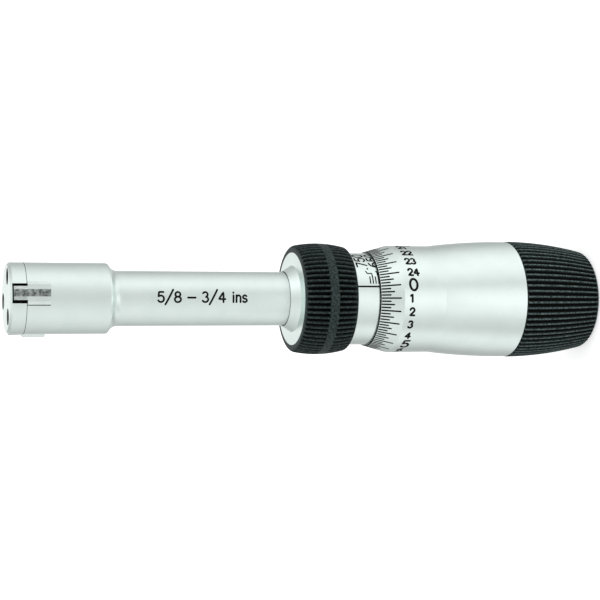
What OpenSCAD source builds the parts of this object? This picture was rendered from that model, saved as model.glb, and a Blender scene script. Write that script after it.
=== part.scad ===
// Three-point inside micrometer, standing on the end of its ratchet knob.
// The axis is Z and the measuring head is at the top. Contact 1 faces -Y.

/* [Measuring head] */
// Diameter of the measuring head
head_d = 15; // [14.6:0.1:15.8]
// Length of the head from its rear shoulder to the cap
head_l = 17.4; // [15:0.1:24]
// Height of the broken edge at the rear of the head
head_edge = 0.25; // [0.1:0.05:0.4]
// Thickness of the front cap
cap_l = 3.4; // [3.3:0.1:4.5]
// Width of the chamfer on the front edge of the cap
cap_chamfer = 0.5; // [0.2:0.1:0.6]
// Width of the windows in the cap
window_w = 4.15; // [3.6:0.05:4.4]
// Thickness of the web that closes each window at the front
window_web = 0.4; // [0.3:0.05:0.7]
// Distance from the cap's edge to the axes of the cap screws
screw_edge = 2.6; // [2.55:0.05:2.7]
// Head diameter of the cap screws
screw_head_d = 3.2; // [2.8:0.1:3.3]
// Head length of the cap screws
screw_head_l = 1.6; // [1.2:0.1:1.8]
// Depth of the screw heads below the front face
screw_sink = 0.7; // [0.2:0.1:0.8]
// Thread diameter of the cap screws
screw_d = 1.9; // [1.6:0.1:2.2]
// Length of the cap screws under the head
screw_l = 5.5; // [4:0.5:8]
// Width over the points of the screw sockets
screw_socket_d = 1.7; // [1.2:0.1:2]

/* [Contacts] */
// Height of the measuring strips above the head at rest
contact_stand = 0.755; // [0.65:0.005:0.9]
// Outward travel of a contact from rest
travel_out = 1.27; // [0.8:0.01:1.27]
// Inward travel of a contact from rest
travel_in = 0.3175; // [0.1:0.0005:0.3175]
// Width of a contact
anvil_w = 4.8; // [4.4:0.1:5]
// Length of the contact block along the axis
anvil_l = 4.7; // [4.5:0.1:5.5]
// Width over the two top facets of a contact
anvil_top_w = 3.6; // [3:0.1:4]
// Drop of the facets from the measuring strip to their edges
facet_drop = 0.2; // [0.1:0.05:0.3]
// Drop of the chamfer from the facets to the sides
side_drop = 0.35; // [0.2:0.05:0.5]
// Width of the measuring strip
strip_w = 1.5; // [1:0.1:2]
// Depth of the measuring strip in its contact
strip_depth = 0.9; // [0.6:0.1:1.4]
// Width of the tongue that runs in the cap window
tongue_w = 2.9; // [2.4:0.1:3.2]
// Length of the tongue in the cap window
tongue_l = 2.75; // [1.5:0.05:2.8]
// Height of the tongue top below the measuring strip
tongue_drop = 0.3; // [0.1:0.05:0.6]
// Width of the stem that rides on the cone
stem_w = 2.4; // [1.8:0.1:2.6]
// Length of the foot behind the block
foot_l = 1.6; // [1.4:0.1:2.2]
// Thickness of the foot
foot_t = 0.8; // [0.6:0.05:0.9]
// Wire diameter of the retracting ring
ring_wire = 0.7; // [0.5:0.05:0.75]
// Angle left open in the retracting ring
ring_opening = 40; // [20:5:90]

/* [Cone and rod] */
// Distance from the measuring cone to the axes of the cap screws
cone_to_screw = 1.5; // [1.45:0.05:1.6]
// Diameter of the flat tip of the cone
cone_tip_d = 1.8; // [1.4:0.1:2]
// Distance from the tip to the cap joint at rest
tip_set = 0.6; // [0.5:0.1:0.8]
// Length of the cylindrical guide behind the cone
guide_l = 5.3; // [4:0.1:8]
// Diameter of the push rod
rod_d = 4.4; // [3.6:0.1:5]
// Diameter of the rod's spigot in the cone
rod_spigot_d = 3; // [2:0.1:3.4]
// Length of the rod's spigot in the cone
rod_spigot_l = 3.5; // [2:0.1:3.9]
// Diameter of the thrust ball
ball_d = 3.2; // [2.5:0.1:3.5]
// Depth of the ball's seat in the rod
ball_seat = 1.3; // [0.8:0.1:1.5]
// Length of the collar on the rod
spring_collar_l = 2; // [1:0.1:4]
// Distance from the rod's rear end to its collar
spring_collar_at = 2.1; // [1:0.1:4]
// Length of the return spring at rest
spring_l = 15.5; // [12:0.5:18]
// Wire diameter of the return spring
spring_wire = 0.6; // [0.4:0.1:0.8]
// Turns of the return spring
spring_turns = 8; // [6:1:10]
// Length of the guide bush in the shank
bush_l = 6; // [4:0.5:10]

/* [Shank] */
// Diameter of the shank
shank_d = 11.74; // [11:0.02:12.5]
// Free length of the shank from the frame to the head's shoulder
shank_l = 41.2; // [36:0.1:80]
// Fillet radius between the shank and the head
shank_fillet = 2.6; // [2:0.1:3.2]
// Wall of the shank round the return spring
shank_wall = 1.87; // [1.4:0.01:2]
// Length of shank held in the frame
shank_socket = 9; // [7:0.1:9.5]

/* [Frame and grip ring] */
// Thickness of the grip ring at its largest diameter
ring_wall = 2.06; // [1.8:0.02:2.8]
// Length of the grip ring
ring_l = 12.4; // [12:0.1:15]
// Radius of the ring's crowned outline
ring_crown = 25; // [22:1:40]
// Distance from the ring's rear to its largest diameter
ring_crown_at = 6.9; // [6:0.1:8]
// Rounding of the ring's front edge
ring_front_round = 0.9; // [0.4:0.1:1]
// Rounding of the ring's rear edge
ring_rear_round = 0.6; // [0.3:0.1:0.9]
// Width of the smooth band round the ring
band_w = 1.9; // [1:0.1:3]
// Distance from the ring's rear to the middle of the band
band_at = 6.2; // [5:0.1:8]
// Number of flutes round the ring
ring_flutes = 64; // [40:1:72]
// Width of the ring's flutes
ring_flute_w = 0.62; // [0.4:0.02:0.7]
// Depth of the ring's flutes at the largest diameter
ring_flute_depth = 0.65; // [0.3:0.05:0.8]
// Rim of the ring that laps over the sleeve
ring_lap = 0.6; // [0.3:0.1:1.2]
// Width of the foot of the boss round the shank
boss_w = 1.43; // [0.9:0.01:2.6]
// Height of the boss round the shank
boss_h = 1.95; // [0.6:0.05:3]
// Width of the lip at the top of the boss
boss_lip = 0.2; // [0.1:0.05:0.5]

/* [Sleeve and barrel] */
// Wall of the graduated sleeve
sleeve_wall = 1.95; // [1.7:0.05:2.1]
// Length of sleeve that shows between thimble and ring
sleeve_show = 4.6; // [2:0.1:8]
// Length of the barrel's nut end that stands out of the sleeve
nut_show = 3.5; // [2.5:0.5:10.5]
// Outer diameter of the inner barrel
barrel_d = 16.4; // [15.5:0.1:17]
// Length of the barrel behind the frame collar
barrel_l = 30.5; // [28:0.5:31]
// Step from the barrel in to its spigot in the frame collar
spigot_step = 1.2; // [0.7:0.1:2.2]
// Length of the barrel's spigot in the frame collar
barrel_spigot_l = 2; // [1:0.1:2.4]
// Step from the threaded bore out to the clear bore ahead of it
bore_step = 0.67; // [0.4:0.01:0.8]
// Length of the threaded bore
nut_l = 16; // [12:0.5:20]
// Length of the slits in the nut end
slit_l = 9; // [6:0.5:11]
// Width of the slits in the nut end
slit_w = 0.6; // [0.3:0.1:1]
// Wall of the adjusting nut
adjuster_wall = 2.2; // [1.7:0.1:2.7]
// Length of the adjusting nut
adjuster_l = 4.5; // [3:0.1:6]
// Distance from the barrel's end to the adjusting nut
adjuster_at = 0.6; // [0.2:0.1:1.5]
// Width of the spanner notches in the adjusting nut
notch_w = 1.6; // [1:0.1:2]

/* [Thimble] */
// Rise of the graduated bevel from the reading edge
bevel_rise = 1.45; // [1.2:0.05:1.7]
// Length of the thimble
thimble_l = 33.9; // [33:0.1:38]
// Wall of the thimble at its reading edge
edge_wall = 0.2; // [0.15:0.01:0.4]
// Length of the graduated bevel
bevel_l = 5.1; // [3:0.1:8]
// Largest diameter of the flared rear
flare_d = 26.1; // [25:0.1:26.4]
// Radius of the flare's outline
flare_crown = 135; // [100:5:200]
// Distance from the thimble's rear to the flare's largest diameter
flare_at = 1.5; // [0.5:0.1:4]
// Thickness of the thimble's rear wall
rear_wall = 4.2; // [3:0.1:4.6]
// Chamfer of the thimble's rear edge
rear_chamfer = 0.25; // [0.1:0.05:0.5]

/* [Spindle] */
// Thread diameter of the spindle
spindle_d = 7.8; // [7.4:0.1:8]
// Step from the spindle's thread in to its seat in the thimble
seat_step = 0.3; // [0.3:0.05:0.7]
// Distance from the thimble's rear to the end of the spindle
tail_at = 0.7; // [0.2:0.1:1.5]
// Step from the spindle's thread in to its nose
nose_step = 0.9; // [0.4:0.1:1.8]
// Distance from the spindle's thread to the frame face
thread_to_face = 22; // [18:0.5:24]
// Distance from the spindle's nose to the frame face
nose_to_face = 7.5; // [5:0.1:8.5]

/* [Ratchet knob] */
// Step from the thimble's flare up to the knob
knob_step = 0.1; // [0:0.05:0.4]
// Length of the knob
knob_l = 18.6; // [18:0.1:20]
// Radius of the knob's crowned outline
knob_crown = 78; // [70:1:120]
// Rounding of the knob's end edge
knob_end_round = 1.2; // [0.6:0.1:1.6]
// Rounding of the knob's front edge
knob_front_round = 0.2; // [0.1:0.05:0.4]
// Number of flutes round the knob
knob_flutes = 64; // [40:1:68]
// Width of the knob's flutes
knob_flute_w = 0.62; // [0.4:0.02:0.7]
// Depth of the knob's flutes
knob_flute_depth = 0.4; // [0.2:0.05:0.5]
// Wall of the knob at its largest diameter
knob_wall = 4.15; // [3.85:0.05:4.6]
// Distance from the knob's end to its web
web_at = 4.4; // [4:0.1:5]
// Thickness of the knob's web
web_t = 2.2; // [1.5:0.1:2.6]
// Gap round the head of the ratchet screw in the knob's recess
recess_gap = 0.8; // [0.4:0.1:1.6]
// Number of teeth of the ratchet
ratchet_teeth = 16; // [12:1:18]
// Width of the ring of ratchet teeth
tooth_w = 4; // [3.1:0.1:5.1]
// Height of the ratchet teeth
tooth_h = 0.8; // [0.4:0.1:1]
// Thickness of the ratchet driver without its teeth
driver_t = 3.4; // [2.5:0.1:3.6]
// Thickness of the ratchet disc without its teeth
disc_t = 3.2; // [2.5:0.1:3.4]
// Gap between the ratchet and the knob's bore
ratchet_gap = 0.4; // [0.2:0.05:1.4]
// Diameter of the driver's stud in the spindle
stud_d = 4; // [3:0.1:4.6]
// Length of the driver's stud in the spindle
stud_l = 6.5; // [5:0.1:9]
// Shoulder diameter of the ratchet screw
shoulder_d = 5.6; // [4.6:0.1:6]
// Head diameter of the ratchet screw
ratchet_head_d = 8.8; // [8:0.1:9]
// Head length of the ratchet screw
ratchet_head_l = 2.1; // [1.2:0.1:2.6]
// Thread diameter of the ratchet screw
ratchet_thread_d = 2.6; // [2:0.1:2.7]
// Width of the slot in the ratchet screw
ratchet_slot_w = 1.2; // [0.8:0.1:1.6]
// Length of thread of the ratchet screw
ratchet_thread_l = 5; // [3:0.1:6]
// Width of the keys between disc and knob
key_w = 2.4; // [1.6:0.1:3]
// Height of the keys between disc and knob
key_h = 0.9; // [0.5:0.1:1]
// Number of keys between disc and knob
key_count = 4; // [3:1:6]
// Wire diameter of the ratchet spring
ratchet_wire = 0.8; // [0.5:0.1:0.9]
// Turns of the ratchet spring
ratchet_turns = 3; // [2.5:0.5:3.5]

/* [Fits] */
// Radial gap of pieces that turn or slide in one another
run_gap = 0.03; // [0.02:0.01:0.05]
// Gap on each side of a contact in its slot
slide_gap = 0.03; // [0.02:0.01:0.06]
// Least gap between pieces at the ends of their travel
limit_gap = 0.1; // [0.06:0.01:0.15]
// Radial gap of the spring collar in the shank
collar_gap = 0.3; // [0.1:0.05:0.4]
// Radial gap round the cap screws
screw_gap = 0.15; // [0.05:0.05:0.15]
// Radial gap between sleeve and thimble
thimble_gap = 0.1; // [0.05:0.01:0.12]
// Gap between thimble and knob
knob_gap = 0.2; // [0.1:0.05:0.3]
// Gap between the crests of the ratchet teeth
crest_gap = 0.05; // [0.03:0.01:0.15]

/* [Hidden] */
$fn = 96;
// Fineness of the long arcs of crowned outlines
crown_fn = 720;

// Contacts stand at equal angles, and the cap screws midway between them
contact_count = 3;
contact_step = 360 / contact_count;
contact_1_angle = -90;
// Allowance by which a cutting tool passes an open face
over = 1;
// Sides and steps of the wire of a coil
wire_sides = 8;
coil_steps = 18;

// Heights along the axis, from the knob's end to the front face
thimble_z = knob_l + knob_gap;
edge_z = thimble_z + thimble_l;
ring_z = edge_z + sleeve_show;
face_z = ring_z + ring_l;
shoulder_z = face_z + shank_l;
joint_z = shoulder_z + head_l;
front_z = joint_z + cap_l;

// Radii that several pieces share
head_r = head_d / 2;
screw_circle_r = head_r - screw_edge;
cone_r = screw_circle_r - cone_to_screw;
head_bore_r = cone_r + run_gap;
contact_r = head_r + contact_stand;
shank_r = shank_d / 2;
shank_bore_r = shank_r - shank_wall;
boss_r = shank_r + boss_w;
rod_r = rod_d / 2;
spindle_r = spindle_d / 2;
seat_r = spindle_r - seat_step;
nose_r = spindle_r - nose_step;
nut_bore_r = spindle_r + run_gap;
barrel_bore_r = nut_bore_r + bore_step;
barrel_r = barrel_d / 2;
spigot_r = barrel_r - spigot_step;
nut_end_r = barrel_r - adjuster_wall;
sleeve_r = barrel_r + sleeve_wall;
ring_r = sleeve_r + ring_wall;
thimble_bore_r = sleeve_r + thimble_gap;
edge_r = thimble_bore_r + edge_wall;
thimble_r = edge_r + bevel_rise;
flare_r = flare_d / 2;
knob_r = flare_r + knob_step;
knob_bore_r = knob_r - knob_wall;
ratchet_r = knob_bore_r - ratchet_gap;
tooth_in_r = ratchet_r - tooth_w;
ratchet_head_r = ratchet_head_d / 2;
recess_r = ratchet_head_r + recess_gap;

// The cone and its 45 degree flank, at rest
tip_z = joint_z - tip_set;
cone_z = tip_z - (cone_r - cone_tip_d / 2);
guide_z = cone_z - guide_l;
flank_sum = tip_z + cone_tip_d / 2;

// The contacts in their slots, at rest
slot_z = joint_z - anvil_l - 2 * slide_gap;
block_z = slot_z + slide_gap;
block_top_z = joint_z - slide_gap;
foot_z = block_z - foot_l;
foot_r = cone_r + travel_in + limit_gap;
stem_tip_r = stem_w / 2 / tan(contact_step / 2) + travel_in + 2 * limit_gap;
block_r = foot_r + foot_t;
window_r = block_r - travel_in - limit_gap;
facet_r = contact_r - facet_drop;
side_r = facet_r - side_drop;
tongue_r = contact_r - tongue_drop;
hook_r = norm([foot_r + foot_t, stem_w / 2]) + slide_gap;
groove_r = hook_r + ring_wire + travel_out + limit_gap;
groove_z = foot_z - limit_gap;

// Cap screws
screw_seat_z = front_z - screw_sink - screw_head_l;
screw_end_z = screw_seat_z - screw_l;

// Frame, barrel and sleeve
collar_z = ring_z + ring_lap;
shank_end_z = face_z - shank_socket;
spigot_top_z = collar_z + barrel_spigot_l;
barrel_z = collar_z - barrel_l;
sleeve_z = barrel_z + nut_show;
adjuster_z = barrel_z + adjuster_at;
nut_top_z = barrel_z + nut_l;
band_z = ring_z + band_at;

// Spindle, ball, rod and return spring
wall_z = thimble_z + rear_wall;
tail_z = thimble_z + tail_at;
thread_top_z = face_z - thread_to_face;
nose_z = face_z - nose_to_face;
ball_z = nose_z + run_gap + ball_d / 2;
rod_z = ball_z + ball_d / 2 - ball_seat;
spring_collar_z = rod_z + spring_collar_at;
spring_z = spring_collar_z + spring_collar_l;
bush_z = spring_z + spring_l;
bush_top_z = bush_z + bush_l;
spring_r = (shank_bore_r + rod_r) / 2;

// Ratchet
driver_crest_z = thimble_z - driver_t - tooth_h;
disc_crest_z = driver_crest_z - crest_gap;
disc_z = disc_crest_z - tooth_h - disc_t;
web_top_z = web_at + web_t;
ratchet_head_z = web_at - run_gap - ratchet_head_l;
ratchet_spring_r = (shoulder_d / 2 + knob_bore_r) / 2;

// Colours
steel = [0.82, 0.85, 0.84];
dark_steel = [0.45, 0.48, 0.48];
carbide = [0.36, 0.38, 0.38];
black = [0.08, 0.09, 0.09];
bronze = [0.72, 0.55, 0.32];

// A plain round length from one height to another
module rod(z0, z1, r) {
    translate([0, 0, z0]) cylinder(h = z1 - z0, r = r);
}

// A round length with a bore right through
module tube(z0, z1, r, bore_r) {
    difference() {
        rod(z0, z1, r);
        rod(z0 - over, z1 + over, bore_r);
    }
}

// Copies of a shape at every contact, or midway between them
module at_contacts(shift = 0) {
    for (i = [0 : contact_count - 1]) {
        rotate(contact_1_angle + shift + i * contact_step) children();
    }
}

// Half section of a crowned body, with tangent rounds on its two edges
module crowned_section(z0, z1, r, crown_z, crown, round0, round1) {
    crown_x = r - crown;
    x0 = crown_x + sqrt(pow(crown - round0, 2) - pow(z0 + round0 - crown_z, 2));
    x1 = crown_x + sqrt(pow(crown - round1, 2) - pow(z1 - round1 - crown_z, 2));
    meet0 = crown_z + (z0 + round0 - crown_z) * crown / (crown - round0);
    meet1 = crown_z + (z1 - round1 - crown_z) * crown / (crown - round1);
    intersection() {
        translate([crown_x, crown_z]) circle(crown, $fn = crown_fn);
        translate([0, meet0]) square([r + over, meet1 - meet0]);
    }
    translate([x0, z0 + round0]) circle(round0);
    translate([x1, z1 - round1]) circle(round1);
    polygon([[0, z0], [x0, z0], [x1, z1], [0, z1]]);
}

// One circle of the wire of a coil
function wire_ring(angle, r, z, wire) = [
    for (j = [0 : wire_sides - 1])
        let (b = 360 * j / wire_sides, q = r + wire / 2 * cos(b))
            [q * cos(angle), q * sin(angle), z + wire / 2 * sin(b)]
];

// Share of the rise at one turn of a coil whose ends lie flat
function coil_rise(turn, turns) = max(0, min(1, (turn - 0.75) / (turns - 1.5)));

// A coil spring between two flat seats
module coil(z0, z1, r, wire, turns) {
    last = round(turns * coil_steps);
    points = [
        for (i = [0 : last])
            let (turn = i / coil_steps, rise = coil_rise(turn, turns))
                each wire_ring(360 * turn, r, z0 + wire / 2 + (z1 - z0 - wire) * rise, wire)
    ];
    sides = [
        for (i = [0 : last - 1], j = [0 : wire_sides - 1])
            let (a = i * wire_sides, b = a + wire_sides, k = (j + 1) % wire_sides)
                [a + j, a + k, b + k, b + j]
    ];
    start = [for (j = [wire_sides - 1 : -1 : 0]) j];
    end = [for (j = [0 : wire_sides - 1]) last * wire_sides + j];
    polyhedron(points, concat([start], sides, [end]));
}

// Saw teeth on a flat face that looks up, from the inner to the outer radius
module face_teeth(z, r_in, r_out) {
    pitch = 2 * PI * r_in / ratchet_teeth;
    intersection() {
        tube(z - over, z + tooth_h, r_out, r_in);
        for (i = [0 : ratchet_teeth - 1]) {
            rotate(i * 360 / ratchet_teeth)
                translate([0, 0, z - over])
                    rotate([90, 0, 90])
                        linear_extrude(r_out + over)
                            polygon([[0, 0], [pitch, 0], [pitch, over], [0, over + tooth_h]]);
        }
    }
}

// Outline of the head and shank, from the axis outward
module head_section() {
    fillet_z = shoulder_z - shank_fillet;
    edge_from_centre = shank_r + shank_fillet - head_r;
    corner_z = fillet_z + sqrt(pow(shank_fillet, 2) - pow(edge_from_centre, 2));
    difference() {
        union() {
            translate([0, shank_end_z]) square([shank_r, fillet_z - shank_end_z + over]);
            translate([0, fillet_z]) square([head_r, joint_z - fillet_z]);
        }
        translate([shank_r + shank_fillet, fillet_z]) circle(shank_fillet);
        polygon([[head_r, corner_z + head_edge], [head_r + over, corner_z + head_edge],
                 [head_r + over, corner_z - over], [head_r - head_edge, corner_z - over],
                 [head_r - head_edge, corner_z - head_edge]]);
    }
}

module measuring_head() {
    color(steel) difference() {
        rotate_extrude() head_section();
        rod(shank_end_z - over, bush_top_z, shank_bore_r);
        rod(bush_top_z - over, joint_z + over, head_bore_r);
        rod(groove_z, slot_z + over, groove_r);
        at_contacts() translate([0, -anvil_w / 2 - slide_gap, slot_z])
            cube([head_d, anvil_w + 2 * slide_gap, joint_z - slot_z + over]);
        at_contacts(contact_step / 2) translate([screw_circle_r, 0, 0])
            rod(screw_end_z - over / 2, joint_z + over, screw_d / 2);
    }
}

module head_cap() {
    recess_l = max(travel_out - tip_set, 0) + 3 * limit_gap;
    color(steel) difference() {
        rotate_extrude() polygon([[0, joint_z], [head_r, joint_z], [head_r, front_z - cap_chamfer],
                                  [head_r - cap_chamfer, front_z], [0, front_z]]);
        rod(joint_z - over, joint_z + recess_l, cone_tip_d / 2 + travel_out + run_gap);
        at_contacts() translate([window_r, -window_w / 2, joint_z - over])
            cube([head_d, window_w, cap_l - window_web + over]);
        at_contacts(contact_step / 2) translate([screw_circle_r, 0, 0]) {
            rod(joint_z - over, front_z, screw_d / 2 + screw_gap);
            rod(screw_seat_z, front_z + over, screw_head_d / 2 + screw_gap);
        }
    }
}

module cap_screws() {
    color(dark_steel) at_contacts(contact_step / 2) translate([screw_circle_r, 0, 0]) {
        difference() {
            union() {
                rod(screw_end_z, screw_seat_z + over / 2, screw_d / 2);
                rod(screw_seat_z, screw_seat_z + screw_head_l, screw_head_d / 2);
            }
            translate([0, 0, screw_seat_z + screw_head_l / 3])
                cylinder(h = screw_head_l, d = screw_socket_d, $fn = 6);
        }
    }
}

// The open spring ring lies behind the slots, round the feet of the contacts
module retracting_ring() {
    ring_mid_z = (foot_z + block_z) / 2;
    color(dark_steel) translate([0, 0, ring_mid_z])
        rotate(contact_1_angle + contact_step / 2 + ring_opening / 2)
            rotate_extrude(angle = 360 - ring_opening)
                translate([hook_r + ring_wire / 2, 0]) circle(d = ring_wire);
}

// One contact: a roof-topped block, a tongue ahead of it, and a stem with a sloping sole and a foot
module anvil_body(index) {
    color(steel) rotate(contact_1_angle + (index - 1) * contact_step) difference() {
        union() {
            translate([0, 0, block_z]) linear_extrude(block_top_z - block_z)
                polygon([[block_r, -anvil_w / 2], [side_r, -anvil_w / 2], [facet_r, -anvil_top_w / 2],
                         [contact_r - facet_drop / 2, -strip_w / 2],
                         [contact_r - facet_drop / 2, strip_w / 2],
                         [facet_r, anvil_top_w / 2], [side_r, anvil_w / 2], [block_r, anvil_w / 2]]);
            translate([0, 0, block_top_z - over]) linear_extrude(tongue_l + slide_gap + over)
                polygon([[block_r, -tongue_w / 2], [tongue_r - facet_drop, -tongue_w / 2],
                         [tongue_r, -strip_w / 2], [tongue_r, strip_w / 2],
                         [tongue_r - facet_drop, tongue_w / 2], [block_r, tongue_w / 2]]);
            rotate([90, 0, 0]) linear_extrude(stem_w, center = true)
                polygon([[foot_r, foot_z], [foot_r, flank_sum + run_gap - foot_r],
                         [stem_tip_r, flank_sum + run_gap - stem_tip_r], [stem_tip_r, block_top_z],
                         [block_r + over / 2, block_top_z], [block_r + over / 2, block_z],
                         [foot_r + foot_t, block_z], [foot_r + foot_t, foot_z]]);
        }
        translate([contact_r - strip_depth, -strip_w / 2, block_z - over])
            cube([head_d, strip_w, block_top_z - block_z + over]);
    }
}

// The measuring strip, ground to the bore at its top
module anvil_strip(index) {
    color(carbide) intersection() {
        rotate(contact_1_angle + (index - 1) * contact_step)
            translate([contact_r - strip_depth, -strip_w / 2, block_z])
                cube([head_d, strip_w, block_top_z - block_z]);
        rod(block_z - over, block_top_z + over, contact_r);
    }
}

module measuring_cone() {
    color(dark_steel) difference() {
        union() {
            rod(guide_z, cone_z, cone_r);
            translate([0, 0, cone_z]) cylinder(h = tip_z - cone_z, r1 = cone_r, r2 = cone_tip_d / 2);
        }
        rod(guide_z - over, guide_z + rod_spigot_l + run_gap, rod_spigot_d / 2 + run_gap);
    }
}

module push_rod() {
    color(steel) difference() {
        union() {
            rod(rod_z, guide_z, rod_r);
            rod(guide_z - over, guide_z + rod_spigot_l, rod_spigot_d / 2);
        }
        translate([0, 0, ball_z]) sphere(r = ball_d / 2 + run_gap);
    }
}

module thrust_ball() {
    color(steel) translate([0, 0, ball_z]) sphere(d = ball_d);
}

module spring_collar() {
    color(bronze) tube(spring_collar_z, spring_z, shank_bore_r - collar_gap, rod_r + run_gap / 2);
}

module return_spring() {
    color(dark_steel) coil(spring_z, bush_z, spring_r, spring_wire, spring_turns);
}

module rod_bush() {
    color(bronze) tube(bush_z, bush_top_z, shank_bore_r - run_gap / 2, rod_r + run_gap);
}

module frame_collar() {
    color(steel) difference() {
        union() {
            rod(collar_z, face_z, sleeve_r);
            translate([0, 0, face_z]) cylinder(h = boss_h, r1 = boss_r, r2 = shank_r + boss_lip);
        }
        rod(shank_end_z, face_z + boss_h + over, shank_r + run_gap / 2);
        rod(collar_z - over, spigot_top_z, spigot_r + run_gap / 2);
        rod(collar_z, face_z, barrel_bore_r);
    }
}

module grip_ring() {
    flute_r = ring_r - ring_flute_depth;
    zones = [[ring_z - over, band_z - band_w / 2], [band_z + band_w / 2, face_z + over]];
    color(black) difference() {
        rotate_extrude() difference() {
            crowned_section(ring_z, face_z, ring_r, ring_z + ring_crown_at, ring_crown,
                            ring_rear_round, ring_front_round);
            translate([0, ring_z - over]) square([sleeve_r + run_gap / 2, ring_l + 2 * over]);
        }
        for (zone = zones, i = [0 : ring_flutes - 1]) {
            rotate(i * 360 / ring_flutes) translate([flute_r, -ring_flute_w / 2, zone[0]])
                cube([ring_flute_depth + over, ring_flute_w, zone[1] - zone[0]]);
        }
    }
}

module sleeve() {
    color(steel) tube(sleeve_z, collar_z, sleeve_r, barrel_r + run_gap / 2);
}

// Inner barrel: its rear end is the spindle's nut, slit so that the adjusting nut can close it
module barrel() {
    nut_shoulder_z = adjuster_z + adjuster_l + run_gap;
    color(dark_steel) difference() {
        union() {
            rod(nut_shoulder_z, collar_z, barrel_r);
            rod(collar_z - over, spigot_top_z, spigot_r);
            rod(barrel_z, nut_shoulder_z + over, nut_end_r);
        }
        rod(barrel_z - over, nut_top_z, nut_bore_r);
        rod(nut_top_z - over / 2, spigot_top_z + over, barrel_bore_r);
        for (i = [0 : contact_count - 1]) {
            rotate(i * contact_step) translate([0, -slit_w / 2, barrel_z - over])
                cube([barrel_d, slit_w, slit_l + over]);
        }
    }
}

module adjusting_nut() {
    color(dark_steel) difference() {
        tube(adjuster_z, adjuster_z + adjuster_l, barrel_r, nut_end_r + run_gap / 2);
        for (i = [0 : key_count - 1]) {
            rotate(i * 360 / key_count) translate([barrel_r - notch_w / 2, -notch_w / 2, adjuster_z - over])
                cube([notch_w, notch_w, notch_w + over]);
        }
    }
}

module spindle() {
    color(steel) difference() {
        union() {
            rod(tail_z, wall_z, seat_r);
            rod(wall_z, thread_top_z, spindle_r);
            rod(thread_top_z - over, nose_z, nose_r);
        }
        rod(tail_z - over, thimble_z + stud_l + over / 2, stud_d / 2);
    }
}

// Thimble: bevelled reading edge, straight part and a flared rear that swells along a long arc
module thimble() {
    shape_top = edge_z - bevel_l;
    flare_z = thimble_z + flare_at;
    color(steel) difference() {
        rotate_extrude() {
            polygon([[0, thimble_z], [thimble_r, thimble_z], [thimble_r, shape_top],
                     [edge_r, edge_z], [0, edge_z]]);
            difference() {
                intersection() {
                    translate([flare_r - flare_crown, flare_z]) circle(flare_crown, $fn = crown_fn);
                    translate([0, thimble_z]) square([flare_r + over, shape_top - thimble_z]);
                }
                polygon([[flare_r - rear_chamfer, thimble_z - over],
                         [flare_r - rear_chamfer, thimble_z],
                         [flare_r, thimble_z + rear_chamfer],
                         [flare_r + over, thimble_z + rear_chamfer],
                         [flare_r + over, thimble_z - over]]);
            }
        }
        rod(wall_z, edge_z + over, thimble_bore_r);
        rod(thimble_z - over, wall_z + over, seat_r + run_gap / 2);
    }
}

// Toothed stud that draws the thimble on to the spindle's seat
module ratchet_driver() {
    root_z = driver_crest_z + tooth_h;
    color(dark_steel) difference() {
        union() {
            rod(root_z, thimble_z, ratchet_r);
            rod(thimble_z - over, thimble_z + stud_l, stud_d / 2 - run_gap / 2);
            mirror([0, 0, 1]) face_teeth(-root_z, tooth_in_r, ratchet_r);
        }
        rod(driver_crest_z - over, root_z + ratchet_thread_l + over / 2,
            ratchet_thread_d / 2 + run_gap / 2);
    }
}

module ratchet_screw() {
    shoulder_top_z = driver_crest_z + tooth_h;
    color(steel) difference() {
        union() {
            rod(ratchet_head_z, ratchet_head_z + ratchet_head_l, ratchet_head_r);
            rod(ratchet_head_z + over, shoulder_top_z, shoulder_d / 2);
            rod(shoulder_top_z - over, shoulder_top_z + ratchet_thread_l, ratchet_thread_d / 2);
        }
        translate([-ratchet_head_d, -ratchet_slot_w / 2, ratchet_head_z - over])
            cube([2 * ratchet_head_d, ratchet_slot_w, over + ratchet_head_l / 2]);
    }
}

module ratchet_disc() {
    color(bronze) difference() {
        union() {
            rod(disc_z, disc_z + disc_t, ratchet_r);
            face_teeth(disc_z + disc_t, tooth_in_r, ratchet_r);
            for (i = [0 : key_count - 1]) {
                rotate(i * 360 / key_count) translate([0, -key_w / 2, disc_z])
                    cube([knob_bore_r + key_h - run_gap, key_w, disc_t]);
            }
        }
        rod(disc_z - over, disc_z + disc_t + tooth_h + over, shoulder_d / 2 + run_gap);
    }
}

module ratchet_spring() {
    color(dark_steel) coil(web_top_z, disc_z, ratchet_spring_r, ratchet_wire, ratchet_turns);
}

// Knob: crowned and fluted shell with a web that runs on the ratchet screw
module ratchet_knob() {
    flute_crown = knob_crown - knob_flute_depth;
    color(black) difference() {
        rotate_extrude() crowned_section(0, knob_l, knob_r, knob_l, knob_crown,
                                         knob_end_round, knob_front_round);
        rod(-over, web_at, recess_r);
        rod(web_at - over, web_top_z + over, shoulder_d / 2 + run_gap);
        rod(web_top_z, knob_l + over, knob_bore_r);
        for (i = [0 : key_count - 1]) {
            rotate(i * 360 / key_count) translate([0, -key_w / 2 - run_gap, web_top_z])
                cube([knob_bore_r + key_h, key_w + 2 * run_gap, knob_l]);
        }
        for (i = [0 : knob_flutes - 1]) {
            rotate(i * 360 / knob_flutes) rotate([90, 0, 0]) linear_extrude(knob_flute_w, center = true)
                difference() {
                    translate([0, -over]) square([knob_r + over, knob_l + 2 * over]);
                    translate([knob_r - knob_crown, knob_l]) circle(flute_crown, $fn = crown_fn);
                }
        }
    }
}

module anvil_1() { anvil_body(1); }
module anvil_2() { anvil_body(2); }
module anvil_3() { anvil_body(3); }
module anvil_tip_1() { anvil_strip(1); }
module anvil_tip_2() { anvil_strip(2); }
module anvil_tip_3() { anvil_strip(3); }

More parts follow.
